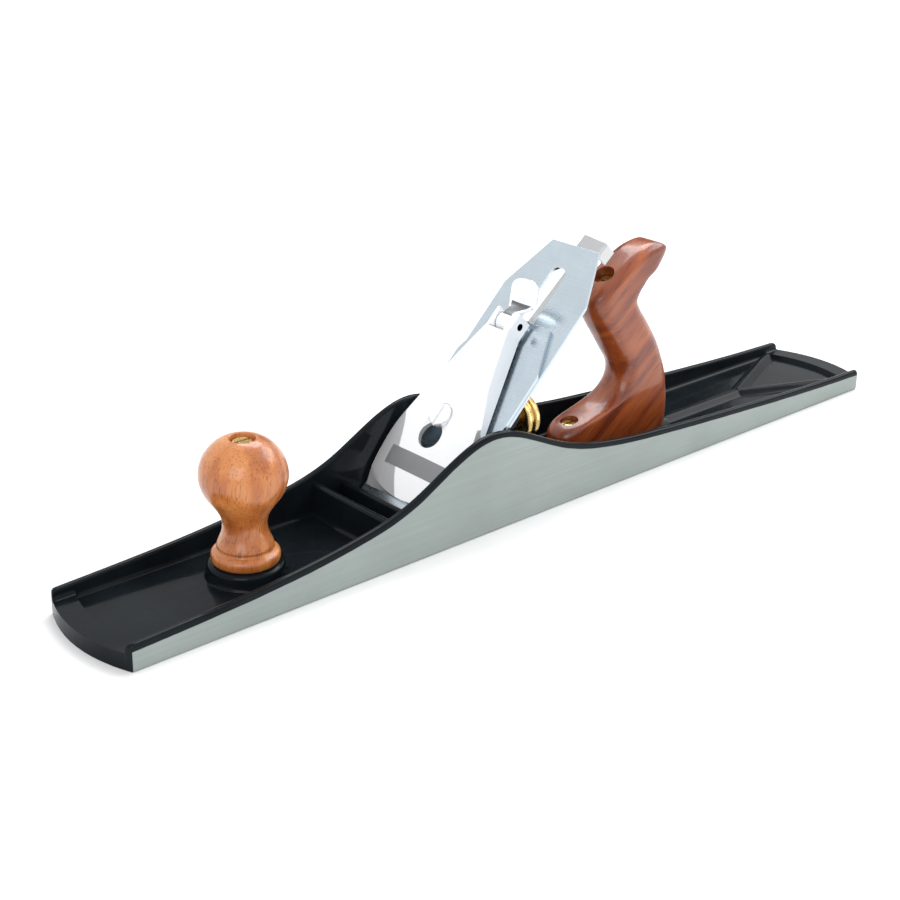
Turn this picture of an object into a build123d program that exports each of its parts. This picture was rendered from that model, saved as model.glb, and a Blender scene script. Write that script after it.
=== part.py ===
from build123d import *
import os
from math import atan2, degrees, sqrt

# Bench hand plane of jointer size, built from separate pieces.
#
# Frame: millimetres, +X towards the toe, +Y to the left of a person pushing the plane, +Z up.
# The origin is the centre of the sole. The cutter and everything on it are drawn in the bed's own
# axes: u runs up the bed from the point where its line meets the sole, v across it towards -Y,
# and n out of the bed.

os.makedirs("parts", exist_ok=True)

# ---- driving dimensions -------------------------------------------------------------------------
LENGTH = 559.0          # toe to heel, 22 inches
WIDTH = 70.0
TOE_SAGITTA = 7.5       # how far the toe bulges past its corners
HEEL_SAGITTA = 9.0
WALL = 3.8              # rail thickness
FLOOR = 6.0             # thickness of the sole
RIM_TOP = 8.4           # raised rims at toe and heel
RIM_WIDTH = 12.0
RAIL_ROUND = 1.5        # rounding of the rail tops
# Height of the rail along the plane: low at both ends, humped over the mouth.
RAIL_LINE = [(279.5, 13.0), (240, 14.6), (192, 17.6), (139, 24.6), (108, 33.5), (84, 46.1),
             (54, 55.3), (26, 46.9), (1, 35.8), (-25, 29.0), (-79, 22.8), (-160, 17.6),
             (-234, 14.0), (-279.5, 12.8)]

MOUTH_X = 93.0          # where the bed line meets the sole
MOUTH_FRONT = 98.0      # front wall of the mouth
SEAT_Z = 10.0           # top of the machined frog seat and of the tote pad
SEAT_REAR = 24.0
RIB_TOP = 23.5          # tall rib across the front tray
LIP_TOP = 19.5          # lower rib just ahead of the mouth

IRON_WIDTH = 60.3       # 2-3/8 inches
IRON_THICK = 2.0
IRON_TOP = 182.0
IRON_EDGE = -1.79       # cutting edge, drawn back just inside the sole
IRON_SIT = 0.03         # the iron lies this far off the bed
SLOT_WIDTH = 11.0
CAP_IRON_TOP = 131.0

CAP_SCREW_U = 44.0      # screw that joins cap iron and iron
CLAMP_U = 62.0          # lever cap screw
YOKE_U = 79.0           # yoke tip
DISC_U = 98.0           # lateral disc
PIVOT_U = 106.5         # lateral lever rivet
FROG_TOP = 114.0
FROG_BASE_TOP = 15.5    # top of the frog's foot
FROG_FACE = 7.0         # thickness of the frog's inclined face
LEVER_BED = 2.1         # recess in the face for the lateral lever
LEVER_TOP = -0.1        # the lever lies just under the iron
LEVER_END = 190.5       # upper end of the lateral lever
LEVER_SWING = -5.0      # degrees; the lever rests a little to the left of the middle
CAP_UNDER = 6.65        # underside of the lever cap, just clear of the cap iron's curl
HOLE_U = 50.5           # keyhole of the lever cap
CAM_U, CAM_N = 124.0, 12.0

AXLE_Z = 41.0           # height of the depth stud
WHEEL_R = 12.7
WHEEL_X = -1.0          # rear face of the depth wheel
YOKE_X, YOKE_Z = 22.0, 54.5
FORK_X = 17.0
ADJUST_Z = 15.2         # frog adjusting screw
FROG_SCREWS = [(58.0, 14.0), (58.0, -14.0)]

KNOB_X = 186.5
BOSS_R = 19.1
BOSS_TOP = 13.5
KNOB_TOP = 77.3

ROD_TOP_X, ROD_TOP_Z = -59.0, 108.0
ROD_FOOT_X = -103.5
TOE_SCREW_X = -37.0
TOTE_THICK = 23.0

FIT = 0.05              # radial clearance of pins and threads
HALF = WIDTH / 2
INNER = HALF - WALL
END = LENGTH / 2

BED = Plane(origin=(MOUTH_X, 0, 0), x_dir=(-1, 0, 1), z_dir=(1, 0, 1))
BED_SIDE = Plane(origin=(MOUTH_X, 0, 0), x_dir=(-1, 0, 1), z_dir=(0, 1, 0))
SIDE = Plane(origin=(0, 0, 0), x_dir=(1, 0, 0), z_dir=(0, -1, 0))


# ---- helpers ------------------------------------------------------------------------------------
def box(x0, x1, y0, y1, z0, z1):
    """A box between corner coordinates."""
    return Pos((x0 + x1) / 2, (y0 + y1) / 2, (z0 + z1) / 2) * Box(x1 - x0, y1 - y0, z1 - z0)


def rod(r, start, axis, length):
    """A cylinder from a start point along an axis."""
    return extrude(Plane(origin=start, z_dir=axis) * Circle(r), length)


def side_solid(points, half_width):
    """A polygon drawn in X and Z, made as thick as twice half_width about the middle."""
    return extrude(SIDE * make_face(Polyline(*points, close=True)), half_width, both=True)


def bed_box(u0, u1, v0, v1, n0, n1):
    """A box in the bed's axes."""
    return BED.location * box(u0, u1, v0, v1, n0, n1)


def bed_rod(r, u, n0, n1, v=0.0):
    """A cylinder that stands square to the bed."""
    return BED.location * (Pos(u, v, (n0 + n1) / 2) * Cylinder(r, n1 - n0))


def bed_slot(half_width, u0, u1, n0, n1):
    """A round-ended slot along the bed between two hole centres."""
    middle = Pos((u0 + u1) / 2, 0, n0) * SlotCenterToCenter(u1 - u0, 2 * half_width)
    return BED.location * extrude(middle, n1 - n0)


def bed_profile(outline, half_width):
    """A face drawn in u and n, made as thick as twice half_width about the middle."""
    return extrude(BED_SIDE * outline, half_width, both=True)


def driver_slot(width, depth, reach, top):
    """The cutter for a screwdriver slot in a head whose top is at the given height."""
    return box(-reach, reach, -width / 2, width / 2, top - depth, top + depth)


# ---- body ---------------------------------------------------------------------------------------
def plan_face(inset=0.0, half_width=HALF):
    """Outline of the sole seen from above, with bowed toe and heel, optionally drawn in."""
    toe = END - inset
    heel = -END + inset
    toe_corner = toe - TOE_SAGITTA
    heel_corner = heel + HEEL_SAGITTA
    outline = [
        Line((heel_corner, -half_width), (toe_corner, -half_width)),
        ThreePointArc((toe_corner, -half_width), (toe, 0), (toe_corner, half_width)),
        Line((toe_corner, half_width), (heel_corner, half_width)),
        ThreePointArc((heel_corner, half_width), (heel, 0), (heel_corner, -half_width)),
    ]
    return make_face(Curve() + outline)


def body_shell():
    """Sole and rails: the outline cut to the rail line, hollowed and with rounded rail tops."""
    rail = Spline(*RAIL_LINE)
    closing = Polyline((-END, 12.8), (-END, 0), (END, 0), (END, 13.0))
    side = extrude(SIDE * make_face(Curve() + [rail, closing]), HALF, both=True)
    shell = side & extrude(plan_face(), 60)
    tray = box(-END - 1, END + 1, -INNER, INNER, RIM_TOP, 60)
    pocket = extrude(Pos(0, 0, FLOOR) * plan_face(RIM_WIDTH, INNER), RIM_TOP)
    shell = shell - tray - pocket
    top_edges = [e for e in shell.edges() if e.length > LENGTH - 40 and e.center().Z > 12]
    return fillet(top_edges, RAIL_ROUND)


def ridge(start, end, half_width, top):
    """A low ridge with sloping sides on the tray's floor, between two plan points."""
    run, rise = end[0] - start[0], end[1] - start[1]
    foot = FLOOR - 0.5
    section = Polyline((-half_width, foot), (half_width, foot), (0.45 * half_width, top),
                       (-0.45 * half_width, top), close=True)
    lying = extrude(Plane.YZ * make_face(section), sqrt(run ** 2 + rise ** 2))
    return Pos(start[0], start[1], 0) * Rot(0, 0, degrees(atan2(rise, run))) * lying


def tray_ribs():
    """Two ribs across the front tray and the low Y of ribs behind the tote."""
    ribs = []
    for x0, x1, top in ((117.3, 121.8, RIB_TOP), (99.0, 103.0, LIP_TOP)):
        rib = box(x0, x1, -INNER - 0.5, INNER + 0.5, FLOOR - 0.5, top)
        ribs.append(fillet(rib.edges().filter_by(Axis.Y).group_by(Axis.Z)[-1], 1.8))
    fork = (-190.0, 0.0)
    for end in ((-118.0, 0.0), (-262.0, INNER - 1.0), (-262.0, -INNER + 1.0)):
        ribs.append(ridge(fork, end, 4.5, 9.0))
    return ribs


def knob_boss():
    """Ring that the front knob stands on."""
    ring = Pos(KNOB_X, 0, (FLOOR - 0.5 + BOSS_TOP) / 2) * Cylinder(BOSS_R, BOSS_TOP - FLOOR + 0.5)
    ring = fillet(ring.edges().group_by(Axis.Z)[-1], 2.6)
    foot = Pos(KNOB_X, 0, FLOOR + 0.6) * Cylinder(BOSS_R + 1.0, 2.2)
    return ring + foot


def make_body():
    seat = side_solid([(SEAT_REAR, FLOOR - 1), (SEAT_REAR, SEAT_Z), (MOUTH_X - SEAT_Z, SEAT_Z),
                       (MOUTH_X - FLOOR + 1, FLOOR - 1)], 27.0)
    lug = box(32.0, 40.0, -5.0, 5.0, FLOOR - 1, 21.0)
    lug = fillet(lug.edges().filter_by(Axis.X).group_by(Axis.Z)[-1], 4.0)
    pad_length = 97.0
    pad = Pos(-70.5, 0, FLOOR - 1) * extrude(SlotOverall(pad_length, 25.0), SEAT_Z - FLOOR + 1)
    mouth = side_solid([(MOUTH_X + 1, -1), (MOUTH_FRONT, -1), (MOUTH_FRONT, FLOOR + 2),
                        (MOUTH_X - FLOOR - 2, FLOOR + 2)], INNER)
    body = body_shell()
    for piece in tray_ribs() + [knob_boss(), seat, lug, pad]:
        body = body + piece
    body = body - mouth
    body = body - rod(2.9 + FIT, (KNOB_X, 0, 2.5), (0, 0, 1), 20)
    for x, y in FROG_SCREWS:
        body = body - rod(2.6, (x, y, 2.0), (0, 0, 1), 20)
    body = body - rod(2.5 + FIT, (30, 0, ADJUST_Z), (1, 0, 0), 12)
    body = body - rod_line(2.9 + FIT, -9.0, 3.0)
    return body - rod(2.5 + FIT, (TOE_SCREW_X, 0, 2.5), (0, 0, 1), 20)


# ---- front knob ---------------------------------------------------------------------------------
def make_knob():
    """Turned knob: bead at the foot, waisted neck and a ball, bored for its stud and nut."""
    foot = BOSS_TOP
    side = [
        Polyline((3.1, foot), (15.6, foot)),
        ThreePointArc((15.6, foot), (16.9, foot + 3.3), (14.8, foot + 6.4)),
        ThreePointArc((14.8, foot + 6.4), (13.6, foot + 8.2), (14.0, foot + 9.6)),
        Spline((14.0, foot + 9.6), (10.9, 32.5), (12.5, 39.7), (21.4, 57.6), (15.0, 73.3),
               (6.6, KNOB_TOP)),
        Polyline((6.6, KNOB_TOP), (6.2, KNOB_TOP - 4.0), (3.1, KNOB_TOP - 4.0), (3.1, foot)),
    ]
    return Pos(KNOB_X, 0, 0) * revolve(Plane.XZ * make_face(Curve() + side), Axis.Z)


def make_knob_stud():
    return rod(2.9, (KNOB_X, 0, 3.0), (0, 0, 1), 68.0)


def make_knob_nut():
    """Brass nut with a slotted, slightly domed head and a blind threaded barrel."""
    head = KNOB_TOP - 4.0
    nut = Pos(0, 0, head + 1.2) * Cylinder(5.0, 2.4)
    nut = fillet(nut.edges().group_by(Axis.Z)[-1], 0.9)
    nut = nut - driver_slot(1.2, 1.3, 8, head + 2.4)
    return Pos(KNOB_X, 0, 0) * nut


# ---- tote ---------------------------------------------------------------------------------------
def rod_line(r, start, end):
    """A cylinder on the slanting tote rod's axis; distances are measured from the tote's foot."""
    rise = ROD_TOP_Z - SEAT_Z
    run = ROD_TOP_X - ROD_FOOT_X
    axis = Vector(run, 0, rise).normalized()
    foot = Vector(ROD_FOOT_X, 0, SEAT_Z)
    return rod(r, foot + axis * start, axis, end - start)


def rod_length():
    return sqrt((ROD_TOP_Z - SEAT_Z) ** 2 + (ROD_TOP_X - ROD_FOOT_X) ** 2)


def make_tote():
    """Rear handle: raked grip, horn over the hand, long toe screwed to the pad."""
    outline = [
        Line((-27.0, SEAT_Z), (-114.0, SEAT_Z)),
        Spline((-114.0, SEAT_Z), (-114.5, 26.0), (-110.5, 43.0), (-103.3, 60.0), (-92.5, 77.0),
               (-85.0, 90.0), (-89.5, 101.5), (-98.5, 111.8), (-101.0, 117.6)),
        ThreePointArc((-101.0, 117.6), (-99.0, 121.8), (-94.0, 123.8)),
        Spline((-94.0, 123.8), (-83.0, 123.0), (-70.0, 116.8), (-54.0, 107.5), (-44.0, 98.0),
               (-46.5, 88.0), (-62.0, 65.5), (-71.0, 52.0), (-70.5, 43.0), (-60.0, 34.0),
               (-43.0, 28.5), (-29.0, 26.0)),
        ThreePointArc((-29.0, 26.0), (-23.6, 18.5), (-27.0, SEAT_Z)),
    ]
    grip = extrude(SIDE * make_face(Curve() + outline), TOTE_THICK / 2, both=True)
    trim = extrude(Pos(-68.5, 0, 0) * SlotOverall(93.0, TOTE_THICK - 1.0), 45)
    upper = box(-125, -15, -20, 20, 36, 140)
    grip = grip & (trim + upper)
    rim = [e for e in grip.edges() if abs(abs(e.center().Y) - TOTE_THICK / 2) < 0.01
           and e.center().Z > 40]
    grip = fillet(rim, 5.0)
    grip = grip - rod_line(3.1, -3.0, rod_length() + 20)
    grip = grip - rod_line(6.2, rod_length() - 7.0, rod_length() + 30)
    grip = grip - rod(2.7, (TOE_SCREW_X, 0, 5), (0, 0, 1), 30)
    return grip - rod(5.2, (TOE_SCREW_X, 0, 24.0), (0, 0, 1), 20)


def make_tote_rod():
    return rod_line(2.9, -8.0, rod_length() - 9.0)


def make_tote_nut():
    """Brass barrel nut in the counterbore at the top of the tote."""
    seat = rod_length() - 7.0
    nut = rod_line(5.6, seat, seat + 3.0) + rod_line(5.0, seat + 3.0, seat + 3.8)
    axis = Vector(ROD_TOP_X - ROD_FOOT_X, 0, ROD_TOP_Z - SEAT_Z).normalized()
    top = Vector(ROD_FOOT_X, 0, SEAT_Z) + axis * (seat + 3.8)
    slot = Plane(origin=top, x_dir=(0, 1, 0), z_dir=axis).location * Box(14, 1.3, 2.4)
    return nut - slot


def make_tote_toe_screw():
    """Round-headed screw through the toe of the tote."""
    head = Pos(0, 0, 25.2) * Cylinder(4.9, 2.4)
    head = fillet(head.edges().group_by(Axis.Z)[-1], 1.6)
    screw = head + Pos(0, 0, 13.5) * Cylinder(2.5, 21.0)
    return Pos(TOE_SCREW_X, 0, 0) * (screw - driver_slot(1.2, 1.3, 8, 26.4))


# ---- frog ---------------------------------------------------------------------------------------
def frog_face():
    """Inclined face with a window over the frog screws, the yoke slot and the lever recess."""
    plan = make_face(Polyline((17, -26), (17, 26), (82, 26), (106, 17), (FROG_TOP, 13),
                              (FROG_TOP, -13), (106, -17), (82, -26), close=True))
    face = BED.location * extrude(Pos(0, 0, -FROG_FACE) * plan, FROG_FACE)
    face = face - bed_box(27.5, 58.0, -20, 20, -20, 1)
    face = face - bed_box(71, 92.3, -4.6, 4.6, -20, 1)
    return face - bed_box(90.5, FROG_TOP + 1, -11, 11, -LEVER_BED, 1)


def frog_frame():
    """Base, two cheeks and a middle web that ends in the yoke's lugs and the stud's boss."""
    under = MOUTH_X - FROG_FACE * sqrt(2)
    base_top = FROG_BASE_TOP
    frame = side_solid([(26, SEAT_Z), (MOUTH_X - SEAT_Z, SEAT_Z), (MOUTH_X - base_top, base_top),
                        (26, base_top)], 26)
    cheek = side_solid([(26, SEAT_Z), (MOUTH_X - SEAT_Z - 1, SEAT_Z), (37.5, 55.5), (33, 55.5),
                        (26, 24)], 26)
    frame = frame + (cheek - side_solid([(0, 0), (90, 0), (90, 90), (0, 90)], 20.5))
    web = side_solid([(27, base_top - 2), (under - base_top + 2, base_top - 2),
                      (under - 65.5, 65.5), (16.5, 62), (16.5, 51.7), (27, 51.7)], 7.4)
    web = web - box(-1, 60, -3.5, 3.5, 49.4, 80)
    frame = frame + web + rod(8.4, (27, 0, AXLE_Z), (1, 0, 0), 15)
    rear_notch = box(25, 48, -6.5, 6.5, SEAT_Z - 1, 22.2)
    frame = frame - rear_notch - bed_box(10, 59, -60, 60, -FROG_FACE, 30)
    return frame - bed_box(58, 200, -60, 60, 0, 30)


def make_frog():
    frog = frog_frame() + frog_face()
    for x, y in FROG_SCREWS:
        slot = Pos(x - 0.75, y, SEAT_Z - 1) * SlotCenterToCenter(2.4, 6.8)
        frog = frog - extrude(slot, 10)
    frog = frog - bed_rod(3.0 + FIT, CLAMP_U, -12, 1)
    frog = frog - bed_rod(2.5 + FIT, PIVOT_U, -FROG_FACE - 1, 1)
    frog = frog - rod(3.5 + FIT, (20, 0, AXLE_Z), (1, 0, 0), 14.8)
    frog = frog - rod(1.5 + FIT, (25, 0, 25.0), (1, 0, 0), 9)
    frog = frog - box(0, 100, -30, 30, 0, SEAT_Z)
    return frog - rod(2.0 + FIT, (YOKE_X, -20, YOKE_Z), (0, 1, 0), 40)


def make_frog_screws():
    """Two cheese-headed screws that clamp the frog to its seat."""
    screws = []
    for x, y in FROG_SCREWS:
        head = Pos(0, 0, FROG_BASE_TOP + 3.3) * Cylinder(5.0, 3.6)
        head = fillet(head.edges().group_by(Axis.Z)[-1], 0.8)
        screw = head + Pos(0, 0, 10.0) * Cylinder(2.55, 15.0)
        screws.append(Pos(x, y, 0) * (screw - driver_slot(1.3, 1.6, 8, FROG_BASE_TOP + 5.1)))
    return Compound(screws)


def make_frog_washers():
    ring = Cylinder(6.0, 1.4) - Cylinder(2.7, 3)
    return Compound([Pos(x, y, FROG_BASE_TOP + 0.75) * ring for x, y in FROG_SCREWS])


def make_frog_clip():
    """Forked plate on the back of the frog that takes the adjusting screw's groove."""
    clip = box(24.0, 26.0, -6.0, 6.0, 11.5, 29.0)
    slot = 2.0 + FIT
    clip = clip - box(20, 30, -slot, slot, 10, ADJUST_Z) - rod(slot, (20, 0, ADJUST_Z), (1, 0, 0), 10)
    clip = fillet(clip.edges().filter_by(Axis.X).group_by(Axis.Z)[-1], 3.0)
    return clip - rod(1.55, (20, 0, 25.0), (1, 0, 0), 10)


def make_frog_clip_screw():
    head = rod(2.8, (22.2, 0, 25.0), (1, 0, 0), 1.8)
    head = head - box(21, 23, -0.4, 0.4, 20, 30)
    return head + rod(1.5, (23.9, 0, 25.0), (1, 0, 0), 9.8)


def make_frog_adjusting_screw():
    """Screw behind the frog: grooved head in the clip, thread in the body's lug."""
    head = rod(5.0, (17.6, 0, ADJUST_Z), (1, 0, 0), 6.2)
    head = head - box(17, 19.2, -6, 6, ADJUST_Z - 0.7, ADJUST_Z + 0.7)
    neck = rod(2.0, (23.7, 0, ADJUST_Z), (1, 0, 0), 2.7)
    collar = rod(4.2, (26.2, 0, ADJUST_Z), (1, 0, 0), 1.8)
    return head + neck + collar + rod(2.5, (27.9, 0, ADJUST_Z), (1, 0, 0), 18.0)


# ---- depth adjustment ---------------------------------------------------------------------------
def make_depth_stud():
    return rod(3.5, (WHEEL_X + 2, 0, AXLE_Z), (1, 0, 0), 33.5)


def make_depth_collar():
    """Grooved brass hub that the yoke's fork runs in."""
    groove = 3.8
    collar = rod(6.6, (FORK_X - groove / 2 - 2.4, 0, AXLE_Z), (1, 0, 0), groove + 4.8)
    ring = rod(8.0, (FORK_X - groove / 2, 0, AXLE_Z), (1, 0, 0), groove)
    ring = ring - rod(5.0, (FORK_X - groove, 0, AXLE_Z), (1, 0, 0), 2 * groove)
    collar = collar - ring + rod(5.5, (WHEEL_X + 0.4, 0, AXLE_Z), (1, 0, 0), 14.0)
    return collar - rod(3.5 + FIT, (-20, 0, AXLE_Z), (1, 0, 0), 60)


def make_depth_wheel():
    """Knurled brass finger wheel: two grip bands with a groove between, dished faces."""
    wheel = rod(WHEEL_R, (WHEEL_X, 0, AXLE_Z), (1, 0, 0), 10)
    wheel = chamfer(wheel.edges().filter_by(GeomType.CIRCLE), 0.8)
    groove = rod(WHEEL_R + 2, (WHEEL_X + 4.1, 0, AXLE_Z), (1, 0, 0), 1.8)
    groove = groove - rod(WHEEL_R - 1.3, (WHEEL_X + 3, 0, AXLE_Z), (1, 0, 0), 4)
    dish = rod(9.6, (WHEEL_X - 1, 0, AXLE_Z), (1, 0, 0), 2.2)
    return wheel - groove - dish - rod(5.5 + FIT, (-20, 0, AXLE_Z), (1, 0, 0), 30)


def make_yoke():
    """Y lever: finger through the face into the cap iron, fork in the collar's groove."""
    arm = side_solid([(20.5, 58.6), (30, 60.2), (35.5, 56.6), (39.3, 60.2), (41.5, 58.0),
                      (34.3, 50.8), (28, 51.6), (22.9, 50.6)], 2.8)
    ring = rod(4.2, (YOKE_X, -2.8, YOKE_Z), (0, 1, 0), 5.6)
    stem = side_solid([(19.0, 56.0), (15.4, 50.4), (15.4, 48.8), (20.4, 48.8), (24.0, 51.5)], 2.8)
    yoke = arm + ring + stem + box(15.4, 20.4, -9.8, 9.8, 48.8, 50.4)
    for side in (-1, 1):
        tine = box(15.4, 18.6, min(7.0 * side, 9.8 * side), max(7.0 * side, 9.8 * side), 39.1, 50.2)
        tine = fillet(tine.edges().filter_by(Axis.Y).group_by(Axis.Z)[0], 1.2)
        yoke = yoke + tine + rod(1.6, (FORK_X, 5.2 * side, AXLE_Z), (0, side, 0), 2.5)
    return yoke - rod(2.0 + FIT, (YOKE_X, -20, YOKE_Z), (0, 1, 0), 40)


def make_yoke_pin():
    return rod(2.0, (YOKE_X, -7.4, YOKE_Z), (0, 1, 0), 14.8)


# ---- lateral adjustment -------------------------------------------------------------------------
def swung(piece):
    """Turn a piece of the lateral lever about its rivet into its resting position."""
    return BED.location * Pos(PIVOT_U, 0, 0) * Rot(0, 0, LEVER_SWING) * Pos(-PIVOT_U, 0, 0) * piece


def make_lateral_lever():
    """Flat steel lever under the iron; its T-shaped end is folded down into two finger pads."""
    thick = 1.9
    bottom = LEVER_TOP - thick
    bar = make_face(Polyline((93.0, -4.2), (93.0, 4.2), (112, 4.4), (124, 3.4), (LEVER_END, 3.4),
                             (LEVER_END, -3.4), (124, -3.4), (112, -4.4), close=True))
    lever = extrude(Pos(0, 0, bottom) * bar, thick)
    head = box(LEVER_END - 8.5, LEVER_END, -9.0, 9.0, bottom - 7.0, LEVER_TOP)
    head = fillet(head.edges().filter_by(Axis.X).group_by(Axis.Z)[-1], 1.4)
    head = head - box(LEVER_END - 10, LEVER_END + 1, thick - 9.0, 9.0 - thick, bottom - 8, bottom)
    pivot = Pos(PIVOT_U, 0, -2) * Cylinder(2.5 + FIT, 6)
    return swung(lever + head - pivot)


def make_lateral_rivet():
    """Rivet that the lateral lever swings on."""
    return bed_rod(2.5, PIVOT_U, -FROG_FACE, 0.1) + bed_rod(3.0, PIVOT_U, LEVER_TOP + 0.1, 1.2)


def make_lateral_disc():
    """Roller disc on the lever's tail, working in the iron's slot."""
    return swung(Pos(DISC_U, 0, (LEVER_TOP + 1.9) / 2) * Cylinder(4.7, 1.9 - LEVER_TOP))


# ---- cutter -------------------------------------------------------------------------------------
def make_iron():
    """Tapered-shoulder blade with its long slot, keyhole and ground bevel."""
    half = IRON_WIDTH / 2
    plan = make_face(Polyline((IRON_EDGE, -half), (IRON_EDGE, half), (150, half), (IRON_TOP, 17),
                              (IRON_TOP, -17), (150, -half), close=True))
    blade = extrude(Pos(0, 0, IRON_SIT) * plan, IRON_THICK)
    low, high = IRON_SIT, IRON_SIT + IRON_THICK
    bevel = Polyline((IRON_EDGE - 2, -1), (IRON_EDGE - 2, high), (IRON_EDGE, high),
                     (IRON_EDGE + 3.7, low), (IRON_EDGE + 3.7, -1), close=True)
    blade = BED.location * blade - bed_profile(make_face(bevel), 40)
    slot_top = 167.4 - SLOT_WIDTH / 2
    return blade - bed_slot(SLOT_WIDTH / 2, 42, slot_top, -1, 4) - bed_rod(9.6, 66, -1, 4)


def make_cap_iron():
    """Curled cap iron with its thread, clamp slot and the yoke's slot."""
    low = IRON_SIT + IRON_THICK
    curve = [
        Spline((-0.2, low), (6, low + 1.5), (13, low + 1.9), (24, low + 0.2)),
        Polyline((24, low + 0.2), (CAP_IRON_TOP, low + 0.03), (CAP_IRON_TOP, 4.3), (27, 4.4)),
        Spline((27, 4.4), (18, 6.0), (12, 6.6), (5, 5.2), (-0.2, low)),
    ]
    half = IRON_WIDTH / 2 - 0.05
    plan = make_face(Polyline((-1, -half), (-1, half), (104, half), (CAP_IRON_TOP, 20),
                              (CAP_IRON_TOP, -20), (104, -half), close=True))
    iron = bed_profile(make_face(Curve() + curve), 40) & (BED.location * extrude(plan, 12))
    iron = iron - bed_rod(3.9 + FIT, CAP_SCREW_U, 0, 9)
    iron = iron - bed_slot(5.2, CLAMP_U - 4, CLAMP_U + 5, 0, 9)
    return iron - bed_box(YOKE_U - 2.2, YOKE_U + 2.2, -3.9, 3.9, 0, 9)


def make_cap_iron_screw():
    """Large flat-headed screw from under the iron into the cap iron."""
    head = bed_rod(9.0, CAP_SCREW_U, -3.6, 0.0)
    head = head - bed_box(CAP_SCREW_U - 12, CAP_SCREW_U + 12, -0.8, 0.8, -5, -2.2)
    return head + bed_rod(3.9, CAP_SCREW_U, -0.5, 4.3)


# ---- lever cap ----------------------------------------------------------------------------------
def crown(skin):
    """Block with the lever cap's crowned top, lowered by a skin thickness."""
    ridge = Spline((6, 7.6, 0), (14, 9.7, 0), (36, 14.4, 0), (60, 17.0, 0), (95, 18.9, 0),
                   (133, 19.0, 0))
    ridge = Rot(90, 0, 0) * ridge
    edge_drop = 3.0 + skin
    outline = [
        Polyline((-31, -edge_drop), (-31, -26), (31, -26), (31, -edge_drop)),
        ThreePointArc((31, -edge_drop), (0, -skin), (-31, -edge_drop)),
    ]
    start = Plane(origin=ridge @ 0, x_dir=(0, 1, 0), z_dir=ridge % 0)
    return sweep(start * make_face(Curve() + outline), path=ridge)


def cap_plan(inset):
    """Outline of the lever cap seen square to the bed, drawn in by an inset."""
    nose = [(13.8, 29.0 - inset), (40.0, 29.4 - inset)]
    flank = [(66.0, 23.8 - inset), (118.0, 8.0 - inset), (129.0, 8.0 - inset)]
    edges = [Line((13.8, inset - 29.0), (13.8, 29.0 - inset)),
             Line((129.0, inset - 8.0), (129.0, 8.0 - inset))]
    for side in (1, -1):
        near = [(u, v * side) for u, v in nose]
        far = [(u, v * side) for u, v in flank]
        edges.append(Line(*near))
        edges.append(Spline(near[1], (51.0, (28.5 - inset) * side), far[0],
                            tangents=[(1, 0), (52.0, -15.8 * side)]))
        edges.append(Polyline(*far))
    return make_face(Curve() + edges)


def make_lever_cap():
    """Crowned, hollow lever cap with keyhole and a forked end for the cam."""
    outer = crown(0.0) & extrude(Pos(0, 0, CAP_UNDER) * cap_plan(0.0), 20)
    hollow = crown(2.8) & extrude(cap_plan(3.0), 20) & box(30, 121, -40, 40, 0, 30)
    cap = BED.location * (outer - hollow)
    cap = cap - bed_box(117, 140, -5.3, 5.3, 0, 30)
    cap = cap - bed_rod(7.4, HOLE_U, 0, 30) - bed_slot(3.6, HOLE_U, CLAMP_U + 0.6, 0, 30)
    cap = cap - bed_slot(7.2, HOLE_U + 2, CLAMP_U, 16.1, 30)
    cap = cap - bed_rod(1.8 + FIT, 99.5, 10, 17.3)
    return cap - cam_rod(2.0 + FIT, 20)


def make_lever_cap_screw():
    """Screw that the lever cap hooks under."""
    head = Pos(CLAMP_U, 0, 17.8) * Cylinder(6.5, 3.0)
    head = fillet(head.edges().group_by(Axis.Z)[-1], 1.2)
    head = head - Pos(CLAMP_U, 0, 0) * driver_slot(1.4, 1.5, 9, 19.3)
    return BED.location * head + bed_rod(3.0, CLAMP_U, -11.5, 16.8)


def cam_rod(r, half_length):
    """A cylinder on the cam's pivot axis."""
    return BED.location * (Pos(CAM_U, 0, CAM_N) * Rot(90, 0, 0) * Cylinder(r, 2 * half_length))


def make_cam_lever():
    """Cam lever: round lobe between the ears, waisted neck and a flared, curled thumb plate."""
    lobe = BED.location * (Pos(CAM_U + 0.3, 0, CAM_N - 0.3) * Rot(90, 0, 0) * Cylinder(6.0, 9.8))
    outline = [
        Spline((121.0, 16.5), (127.0, 17.8), (137.0, 16.2), (143.5, 16.9), (147.8, 19.8)),
        ThreePointArc((147.8, 19.8), (149.3, 19.4), (149.4, 17.9)),
        Spline((149.4, 17.9), (144.5, 13.6), (137.0, 12.6), (128.0, 12.4)),
        Polyline((128.0, 12.4), (124.0, 10.0), (121.0, 16.5)),
    ]
    plate = bed_profile(make_face(Curve() + outline), 12)
    plan = [
        Polyline((138.5, 9.8), (132.8, 4.9), (118, 4.9), (118, -4.9), (132.8, -4.9), (138.5, -9.8)),
        Line((138.5, -9.8), (143.5, -9.8)),
        ThreePointArc((143.5, -9.8), (149.6, 0), (143.5, 9.8)),
        Line((143.5, 9.8), (138.5, 9.8)),
    ]
    plate = plate & (BED.location * extrude(make_face(Curve() + plan), 30))
    return lobe + plate - cam_rod(2.0 + FIT, 20)


def make_cam_pin():
    return cam_rod(2.0, 8.0)


def make_cap_spring():
    """Bent leaf between the cam and the cap iron."""
    strip = [(95, 14.1), (95, 15.1), (105.5, 15.1), (116.5, 5.5), (131, 5.5), (131, 4.5),
             (116, 4.5), (105, 14.1)]
    leaf = bed_profile(make_face(Polyline(*strip, close=True)), 4.6)
    return leaf - bed_rod(1.8 + FIT, 99.5, 10, 20)


def make_spring_rivet():
    return bed_rod(1.8, 99.5, 13.4, 17.2) + bed_rod(2.8, 99.5, 13.0, 14.0)


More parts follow.
